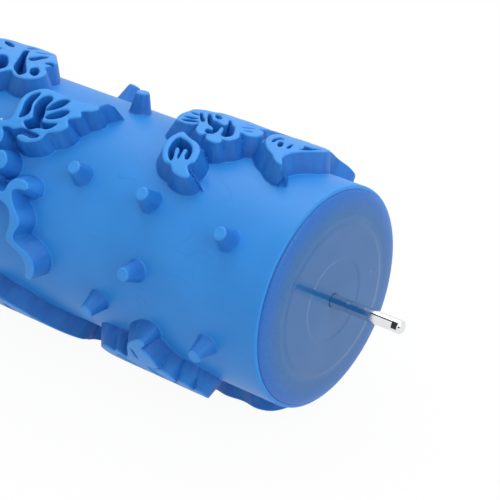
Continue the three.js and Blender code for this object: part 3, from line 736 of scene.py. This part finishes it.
class Sheet:
    """The sleeve's outer face, cut open and laid flat, as points and the links among them in millimetres."""

    def __init__(self, settings):
        height = settings.relief_height / MM
        self.base = settings.base_radius / MM
        self.crown = self.base + height
        self.half = (HALF_LENGTH - settings.edge_rounding) / MM
        self.slope, self.lean = settings.wall_slope / MM, settings.lean / MM
        self.profile = edge_profile(height, settings.edge_rounding / MM, self.slope, settings.foot_fillet / MM)
        self.relief = placed_relief(self.crown, 1 - self.profile[0, 0], self.slope, self.lean)
        self.top, self.bottom = (-math.radians(SEAM_DEGREES + turn) * self.crown for turn in (0, 360))
        self.low = np.array((-self.half, self.bottom)) + EDGE_INSET
        self.high = np.array((self.half, self.top)) - EDGE_INSET
        self.points, self.links, self.stops, self.extra = [], [], [], []

    def holds(self, places):
        return np.all((places > self.low) & (places < self.high), axis=1)

    def on_level(self, places, level):
        return np.abs(self.relief.depth(places) - level) < LEVEL_PLAY

    def add_line(self, line, kept, closed=True):
        """Adds a line's kept points, and the links between neighbours that are both kept."""
        numbers = np.cumsum(kept) - 1 + sum(len(part) for part in self.points)
        self.points.append(line[kept])
        for n in range(len(line) if closed else len(line) - 1):
            after = (n + 1) % len(line)
            if kept[n] and kept[after]:
                self.links.append((int(numbers[n]), int(numbers[after])))

    def add_lattice(self, line, margin, spacing, shallow):
        """Adds a fine lattice round a line, where the sheet lies under some depth."""
        spans = zip(line.min(axis=0) - margin, line.max(axis=0) + margin)
        grid = np.stack(np.meshgrid(*(np.arange(*span, spacing) for span in spans)), axis=-1).reshape(-1, 2)
        grid = grid[self.holds(grid)]
        depth = self.relief.depth(grid)
        self.points.append(grid[(depth < shallow) & (depth > self.profile[0, 0])])

    def add_bare_rubber(self, along_step, around_steps):
        """Adds the sheet's four edges and a coarse grid, and returns the places round the sleeve."""
        seam = np.linspace(-self.half, self.half, 1 + round(2 * SEAM_POINTS_PER_MM * self.half))
        arounds = np.linspace(self.bottom, self.top, around_steps + 1)
        for level in (self.bottom, self.top):
            line = np.column_stack([seam, np.full(len(seam), level)])
            self.add_line(line, np.ones(len(line), bool), closed=False)
        for end in (-self.half, self.half):
            self.points.append(np.column_stack([np.full(len(arounds) - 2, end), arounds[1:-1]]))
        alongs = np.linspace(-self.half, self.half, 1 + round(2 * self.half / along_step))
        grid = np.stack(np.meshgrid(alongs[1:-1], arounds[1:-1]), axis=-1).reshape(-1, 2)
        depth = self.relief.depth(grid)
        clear = (depth > self.profile[-1, 0] + INNER_LINE) | (depth < self.profile[0, 0] - OUTER_LINE)
        self.points.append(grid[clear])
        return arounds

    def add_levels(self, loop, hole, step):
        """Adds lines of even depth along a motif's outline or hole."""
        closed = np.vstack([loop, loop[:1]])
        run = np.linalg.norm(np.diff(closed, axis=0), axis=1).sum()
        line = along_line(closed, max(8, round(run / step)))[:-1]
        along = np.roll(line, -1, axis=0) - np.roll(line, 1, axis=0)
        inwards = np.column_stack([-along[:, 1], along[:, 0]])
        inwards /= np.linalg.norm(inwards, axis=1, keepdims=True)
        for level, _ in self.profile:
            moved = line + inwards * (level / HOLE_STEEPNESS if hole and level < 0 else level)
            kept = self.holds(moved) & self.on_level(moved, level)
            self.add_line(moved, kept)
            for turn in (1, -1):
                rows = np.column_stack([moved, np.roll(moved, turn, axis=0), np.full(len(moved), level)])
                self.stops.append(rows[kept & ~np.roll(kept, turn)])

    def add_creases(self):
        """Adds the places where lines of even depth end in a crease, between a good point and a bad one."""
        stops = np.vstack(self.stops)
        good, bad, levels = stops[:, :2], stops[:, 2:4], stops[:, 4]
        for _ in range(CREASE_HALVINGS):
            middle = (good + bad) / 2
            fits = self.on_level(middle, levels)[:, None]
            good, bad = np.where(fits, middle, good), np.where(fits, bad, middle)
        self.extra.append(good)

    def add_ridge(self, ridge):
        self.extra.append(ridge[:, :2])
        self.add_lattice(ridge[:, :2], self.slope, *RIDGE_LATTICE)

    def triangles(self):
        """The sheet's flat places and its triangles."""
        extra = np.vstack(self.extra)
        flat = [Vector(point) for point in np.vstack([*self.points, extra[self.holds(extra)]])]
        placed, _, faces, *_ = delaunay_2d_cdt(flat, self.links, [], 0, 1e-5)
        return np.array([tuple(point) for point in placed]), [tuple(face) for face in faces]

    def bent(self, places):
        """Flat places lifted to the relief's height and bent round the roller."""
        rise = np.interp(self.relief.depth(places), self.profile[:, 0], self.profile[:, 1])
        radius = self.base + rise
        turn = -places[:, 1] / self.crown
        end = np.maximum(places[:, 0], self.half - RIM_CLEARANCE)
        along = np.minimum(places[:, 0] + rise / (self.crown - self.base) * self.lean, end)
        return np.column_stack([along, -radius * np.sin(turn), radius * np.cos(turn)]) * MM


def sleeve_sheet(settings):
    """The points and faces of the sleeve's outer face, and the angles of the points at its ends."""
    sheet = Sheet(settings)
    arounds = sheet.add_bare_rubber(settings.along_step / MM, settings.around_steps)
    for loop, hole in sheet.relief.loops:
        sheet.add_levels(loop, hole, settings.outline_step / MM)
        if hole:
            sheet.add_lattice(loop, 0, *HOLE_LATTICE)
    sheet.add_creases()
    for ridge in sheet.relief.ridges:
        sheet.add_ridge(ridge)
    places, faces = sheet.triangles()
    return sheet.bent(places).tolist(), faces, -arounds[:-1] / sheet.crown


def rim_profile(settings):
    """The sleeve's two rims and its bore, from the far rim to the near one, as [along, radius]."""
    base, rounding = settings.base_radius, settings.edge_rounding
    lip = base - settings.lip_wall
    bore = base - settings.wall
    shoulder = HALF_LENGTH - settings.lip_depth
    corner = [(HALF_LENGTH - rounding * (1 - math.cos(a)), base - rounding * (1 - math.sin(a)))
              for a in np.radians((90, 60, 30, 0))]
    near = [*corner, (HALF_LENGTH - 0.02 * MM, lip + 0.02 * MM), (HALF_LENGTH - 0.3 * MM, lip), (shoulder, lip),
            (shoulder, bore)]
    far = [(-along, radius) for along, radius in near]
    return [*far, *reversed(near)]


class ROLLER_OT_sleeve(Operator):
    """Builds the rubber sleeve with its raised motifs"""

    bl_idname = "roller.sleeve"
    bl_label = "Sleeve"

    def execute(self, context):
        settings = context.scene.roller_sleeve
        points, faces, angles = sleeve_sheet(settings)
        rim_points, rim_faces = turned_rows(rim_profile(settings), angles)
        faces += [tuple(n + len(points) for n in face) for face in rim_faces]
        sleeve = mesh_object("rubber_sleeve", points + rim_points, faces, rubber_material(settings))
        hand_over(sleeve, "drum", "pattern_sleeve")
        return {"FINISHED"}


def peg_tree():
    """Geometry Nodes that stand a tapered peg, with a filleted foot and a dished top, on each point."""
    tree = bpy.data.node_groups.new("pegs", "GeometryNodeTree")
    tree.interface.new_socket("Geometry", in_out="INPUT", socket_type="NodeSocketGeometry")
    for name in ("Base radius", "Height", "Top radius", "Foot radius", "Flare", "Edge", "Dish", "Sink"):
        tree.interface.new_socket(name, in_out="INPUT", socket_type="NodeSocketFloat")
    tree.interface.new_socket("Material", in_out="INPUT", socket_type="NodeSocketMaterial")
    tree.interface.new_socket("Geometry", in_out="OUTPUT", socket_type="NodeSocketGeometry")
    graph = Graph(tree)
    group = graph.add("NodeGroupInput")
    given = {out.name: group.beside(out.name) for out in group.link.node.outputs if out.name}
    rod = graph.add("GeometryNodeMeshCylinder", {}, {
        "Vertices": 28, "Side Segments": 16, "Fill Segments": 4, "Radius": 1, "Depth": 1,
    }, output="Mesh")
    across, around, along = graph.split(graph.add("GeometryNodeInputPosition"))
    rise = along + 0.5
    taper = given["Foot radius"] + (given["Top radius"] - given["Foot radius"]) * rise
    flare = given["Flare"] * (1 - rise / 0.3).floor_at(0) ** 2
    edge = given["Edge"] * ((rise - 0.88) / 0.12).floor_at(0) ** 2
    radius = taper + flare - edge
    from_middle = (across * across + around * around) ** 0.5
    dish = given["Dish"] * rise.above(0.99) * (1 - from_middle.step(0.45, 0.8))
    droop = (around * radius) ** 2 / (given["Base radius"] * 2) * (1 - rise)
    lift = rise * (given["Height"] + given["Sink"]) - given["Sink"] - dish - droop
    spot = graph.add("ShaderNodeCombineXYZ", {}, {"X": across * radius, "Y": around * radius, "Z": lift})
    shaped = graph.add("GeometryNodeSetPosition", {}, {"Geometry": rod, "Position": spot})
    lean = graph.add("GeometryNodeInputNamedAttribute", {"data_type": "FLOAT"}, {"Name": "around"})
    turn = graph.add("ShaderNodeCombineXYZ", {}, {"X": lean})
    stood = graph.add("GeometryNodeInstanceOnPoints", {}, {
        "Points": given["Geometry"], "Instance": shaped, "Rotation": turn,
    })
    whole = graph.add("GeometryNodeRealizeInstances", {}, {"Geometry": stood})
    smooth = graph.add("GeometryNodeSetShadeSmooth", {}, {"Geometry": whole})
    coloured = graph.add("GeometryNodeSetMaterial", {}, {"Geometry": smooth, "Material": given["Material"]})
    graph.add("NodeGroupOutput", {}, {"Geometry": coloured})
    return tree


def apply_modifier(piece, modifier):
    """Makes what a modifier shows the piece's own mesh."""
    seen = piece.evaluated_get(bpy.context.evaluated_depsgraph_get())
    mesh = bpy.data.meshes.new_from_object(seen)
    piece.modifiers.remove(modifier)
    piece.data = mesh


def grow(carrier, tree, values):
    """Turns a carrier into the plain mesh that a Geometry Nodes tree makes on it."""
    modifier = carrier.modifiers.new("nodes", "NODES")
    modifier.node_group = tree
    for item in tree.interface.items_tree:
        if item.in_out == "INPUT" and item.name in values:
            modifier[item.identifier] = values[item.name]
    apply_modifier(carrier, modifier)


class ROLLER_OT_pegs(Operator):
    """Stands the small tapered pegs between the motifs"""

    bl_idname = "roller.pegs"
    bl_label = "Pegs"

    def execute(self, context):
        sleeve, pegs = context.scene.roller_sleeve, context.scene.roller_pegs
        base = sleeve.base_radius
        turns = [math.radians(around) for _, around in PEG_PLACE_SHARES]
        feet = [(share * HALF_LENGTH, -base * math.sin(turn), base * math.cos(turn))
                for (share, _), turn in zip(PEG_PLACE_SHARES, turns)]
        mesh = bpy.data.meshes.new("rubber_pegs")
        mesh.from_pydata(feet, [], [])
        mesh.attributes.new("around", "FLOAT", "POINT").data.foreach_set("value", turns)
        carrier = linked("rubber_pegs", mesh)
        grow(carrier, peg_tree(), {
            "Base radius": base, "Height": sleeve.relief_height, "Top radius": pegs.top_radius,
            "Foot radius": pegs.foot_radius, "Flare": pegs.flare, "Edge": pegs.edge, "Dish": pegs.dish,
            "Sink": pegs.sink, "Material": bpy.data.materials["blue_rubber"],
        })
        hand_over(carrier, "drum", "pattern_sleeve")
        return {"FINISHED"}


class ROLLER_OT_caps(Operator):
    """Builds the two end caps with their domed shoulder, flat disc and recess"""

    bl_idname = "roller.caps"
    bl_label = "End caps"

    def profile(self, cap, sleeve):
        """The cap's closed outline as [along, radius]: face, shoulder, edge, spigot and inside."""
        edge = sleeve.base_radius - sleeve.lip_wall - cap.edge_gap
        hole = PIN_RADIUS + cap.hole_play
        brow = CAP_FACE - cap.disc_step
        dome = [(HALF_LENGTH + (brow - HALF_LENGTH) * math.cos(a),
                 cap.disc_radius + 0.3 * MM + (edge - cap.disc_radius - 0.3 * MM) * math.sin(a))
                for a in np.radians(np.arange(0, 91, DOME_STEP_DEGREES))]
        low, back = CAP_LOW.x, HALF_LENGTH - sleeve.lip_depth
        recess, inside = CAP_FACE - cap.recess_depth, CAP_FACE - CAP_SKIN
        hollow = CAP_SPIGOT - CAP_SPIGOT_WALL
        return [
            (inside, hole), (recess - 0.06 * MM, hole), (recess, hole + 0.06 * MM),
            (recess, hole + 0.2 * MM), (recess, cap.recess_radius - 0.6 * MM),
            (recess, cap.recess_radius - 0.35 * MM), (recess + 0.02 * MM, cap.recess_radius - 0.1 * MM),
            (CAP_FACE - 0.02 * MM, cap.recess_radius + 0.15 * MM), (CAP_FACE, cap.recess_radius + 0.4 * MM),
            (CAP_FACE, cap.recess_radius + 0.7 * MM), (CAP_FACE, cap.disc_radius - 0.6 * MM),
            (CAP_FACE, cap.disc_radius - 0.3 * MM), (CAP_FACE - 0.03 * MM, cap.disc_radius), *dome,
            (back, edge), (back, CAP_SPIGOT), (low, CAP_SPIGOT), (low, hollow), (inside, hollow),
            (inside, hole),
        ]

    def execute(self, context):
        cap, sleeve = context.scene.roller_caps, context.scene.roller_sleeve
        profile = self.profile(cap, sleeve)
        angles = np.arange(cap.steps) * 2 * math.pi / cap.steps
        material = cap_material(cap)
        for side, name in ((1, "end_cap_right"), (-1, "end_cap_left")):
            points, faces = turned_rows([(side * along, radius) for along, radius in profile], angles)
            piece = mesh_object(name + "_fine", points, faces, material)
            hand_over(piece, "drum", name)
        return {"FINISHED"}


class ROLLER_OT_pin(Operator):
    """Builds the bright steel pin with its slot and notch near each tip"""

    bl_idname = "roller.pin"
    bl_label = "Pin"

    def execute(self, context):
        pin = context.scene.roller_pin
        half = [(PIN_HALF - pin.chamfer, PIN_RADIUS), (PIN_HALF, PIN_RADIUS - pin.chamfer), (PIN_HALF, 0)]
        profile = [(-along, radius) for along, radius in reversed(half)] + half
        angles = np.arange(pin.steps) * 2 * math.pi / pin.steps
        # Painted shade in the slot and notch, under this radius
        material = steel_material("pin_steel", pin.steel, 0.06, PIN_RADIUS - 0.04 * MM)
        rod = mesh_object("steel_pin", *turned_rows(profile, angles), material)
        for side in (-1, 1):
            notch_end = side * (PIN_HALF - pin.notch_inset)
            notch_start = notch_end - side * pin.notch_length
            slot_start = notch_start - side * pin.slot_length
            self.cut(rod, notch_start, notch_end, 2 * PIN_RADIUS, pin.slot_depth, NOTCH_TURN)
            self.cut(rod, slot_start, notch_start, pin.slot_width, pin.slot_depth, SLOT_TURN)
        rod.data.set_sharp_from_angle(angle=math.radians(PIN_SHARP_DEGREES))
        hand_over(rod, "pin", "axle")
        return {"FINISHED"}

    def cut(self, rod, start, end, width, depth, turn):
        """Cuts a box out of the rod's side, turned round its axis by some degrees."""
        mesh = bpy.data.meshes.new("cutter")
        shape = bmesh.new()
        bmesh.ops.create_cube(shape, size=1)
        shape.to_mesh(mesh)
        shape.free()
        low, high = PIN_RADIUS - depth, PIN_RADIUS * 2
        mesh.transform(Matrix.Rotation(math.radians(turn), 4, "X")
                       @ Matrix.Translation(((start + end) / 2, 0, (low + high) / 2))
                       @ Matrix.Diagonal((abs(end - start), width, high - low, 1)))
        cutter = linked("cutter", mesh)
        modifier = rod.modifiers.new("cut", "BOOLEAN")
        modifier.operation = "DIFFERENCE"
        modifier.object = cutter
        apply_modifier(rod, modifier)
        bpy.data.objects.remove(cutter)


class ROLLER_OT_inside(Operator):
    """Gives the core tube, hubs, bushes, washers and rings their finishes"""

    bl_idname = "roller.inside"
    bl_label = "Inner pieces"

    def execute(self, context):
        core = moulded_material("core_plastic", (0.70, 0.70, 0.71, 1), 0.5)
        bearing = moulded_material("bearing_plastic", (0.84, 0.81, 0.74, 1), 0.35)
        spring = steel_material("spring_steel", (0.52, 0.53, 0.55, 1), 0.3)
        finishes = {
            "core_tube": core, "hub": core, "bush": bearing, "thrust_washer": spring, "retaining_ring": spring,
        }
        for name, node in NODES.items():
            for start, material in finishes.items():
                if name.startswith(start):
                    node.data.materials.clear()
                    node.data.materials.append(material)
        return {"FINISHED"}


class ROLLER_OT_stage(Operator):
    """Adds the floor, the soft lights and the photograph's camera"""

    bl_idname = "roller.stage"
    bl_label = "Stage"

    def execute(self, context):
        stage = context.scene.roller_stage
        self.floor(stage)
        self.world(stage)
        self.card(stage)
        self.lamp("key_light", *KEY_LAMP, stage.key)
        self.lamp("fill_light", *FILL_LAMP, stage.fill)
        self.camera(context)
        context.scene.view_settings.view_transform = "Standard"
        return {"FINISHED"}

    @staticmethod
    def seen(graph):
        """1 where the camera sees a surface straight on, in a mirror or through glass."""
        rays = graph.add("ShaderNodeLightPath")
        mirror, glass = rays.beside("Is Glossy Ray"), rays.beside("Is Transmission Ray")
        return rays.beside("Is Camera Ray").floor_at(mirror).floor_at(glass)

    @staticmethod
    def square(name, middle, right, up, reach, material):
        """A square piece of the stage, which reaches equally far right and up from its middle."""
        mesh = bpy.data.meshes.new(name)
        corners = [middle + (right * across + up * along) * reach
                   for across, along in ((-1, -1), (1, -1), (1, 1), (-1, 1))]
        mesh.from_pydata(corners, [], [(0, 1, 2, 3)])
        mesh.materials.append(material)
        piece = linked(name, mesh)
        return piece

    def floor(self, stage):
        material, graph, _ = new_material("pale_floor")
        matt = graph.add("ShaderNodeBsdfDiffuse", {}, {"Color": stage.floor})
        white = graph.add("ShaderNodeEmission", {}, {"Color": (1, 1, 1, 1), "Strength": 1.0})
        lift = self.seen(graph) * stage.whiteness
        lifted = graph.add("ShaderNodeMixShader", {}, {0: lift, 1: matt, 2: white})
        graph.add("ShaderNodeOutputMaterial", {}, {"Surface": lifted})
        middle = Vector((0, 0, FLOOR_LEVEL))
        self.square("floor", middle, Vector((1, 0, 0)), Vector((0, 1, 0)), FLOOR_REACH, material)

    def card(self, stage):
        """A dark card behind the camera, which only mirrors show: the dark side of the studio."""
        material, graph, _ = new_material("dark_card")
        matt = graph.add("ShaderNodeBsdfDiffuse", {}, {"Color": (0.02, 0.02, 0.02, 1)})
        graph.add("ShaderNodeOutputMaterial", {}, {"Surface": matt})
        middle = Vector((CAP_FACE, 0, 0)) - CAMERA_FORWARD * CARD_DISTANCE
        card = self.square("card", middle, CAMERA_RIGHT, CAMERA_UP, stage.card / 2, material)
        card.visible_camera = card.visible_diffuse = card.visible_shadow = False

    def world(self, stage):
        world = bpy.data.worlds.new("studio")
        world.use_nodes = True
        graph = Graph(world.node_tree)
        graph.tree.nodes.clear()
        strength = stage.world + self.seen(graph) * (1 - stage.world)
        light = graph.add("ShaderNodeBackground", {}, {"Color": (1, 1, 1, 1), "Strength": strength})
        graph.add("ShaderNodeOutputWorld", {}, {"Surface": light})
        bpy.context.scene.world = world

    @staticmethod
    def lamp(name, place, size, power):
        """A square soft lamp that faces the roller's near end."""
        light = bpy.data.lights.new(name, "AREA")
        light.size = size
        light.energy = power
        aim = Vector((HALF_LENGTH / 2, 0, 0)) - Vector(place)
        turn = aim.to_track_quat("-Z", "Y").to_matrix().to_4x4()
        linked(name, light).matrix_world = Matrix.Translation(place) @ turn

    @staticmethod
    def camera(context):
        data = bpy.data.cameras.new("camera")
        data.lens = CAMERA_LENS_MM
        data.sensor_width = SENSOR_MM
        data.sensor_fit = "HORIZONTAL"
        data.clip_start = CAMERA_CLIP
        camera = linked("camera", data)
        turn = Matrix((CAMERA_RIGHT, CAMERA_UP, -CAMERA_FORWARD)).transposed().to_4x4()
        camera.matrix_world = Matrix.Translation(Vector((CAP_FACE, 0, 0)) + CAMERA_REACH) @ turn
        context.scene.camera = camera


class ROLLER_PT_panel(Panel):
    bl_label = "Pattern paint roller"
    bl_idname = "ROLLER_PT_panel"
    bl_space_type = "VIEW_3D"
    bl_region_type = "UI"
    bl_category = "Roller"

    def draw(self, context):
        scene = context.scene
        for operator, settings in (("sleeve", scene.roller_sleeve), ("pegs", scene.roller_pegs),
                                   ("caps", scene.roller_caps), ("pin", scene.roller_pin),
                                   ("inside", None), ("stage", scene.roller_stage)):
            box = self.layout.box()
            box.operator(f"roller.{operator}")
            for name in getattr(settings, "__annotations__", {}):
                box.prop(settings, name)


SETTINGS = {
    "roller_sleeve": SleeveSettings, "roller_pegs": PegSettings, "roller_caps": CapSettings,
    "roller_pin": PinSettings, "roller_stage": StageSettings,
}
CLASSES = (*SETTINGS.values(), ROLLER_OT_sleeve, ROLLER_OT_pegs, ROLLER_OT_caps, ROLLER_OT_pin,
           ROLLER_OT_inside, ROLLER_OT_stage, ROLLER_PT_panel)


def register():
    for kind in CLASSES:
        bpy.utils.register_class(kind)
    for name, kind in SETTINGS.items():
        setattr(bpy.types.Scene, name, PointerProperty(type=kind))


def unregister():
    for name in SETTINGS:
        delattr(bpy.types.Scene, name)
    for kind in reversed(CLASSES):
        bpy.utils.unregister_class(kind)


def main():
    register()
    bpy.ops.roller.stage()
    bpy.ops.roller.sleeve()
    bpy.ops.roller.pegs()
    bpy.ops.roller.caps()
    bpy.ops.roller.pin()
    bpy.ops.roller.inside()


if __name__ == "__main__":
    main()
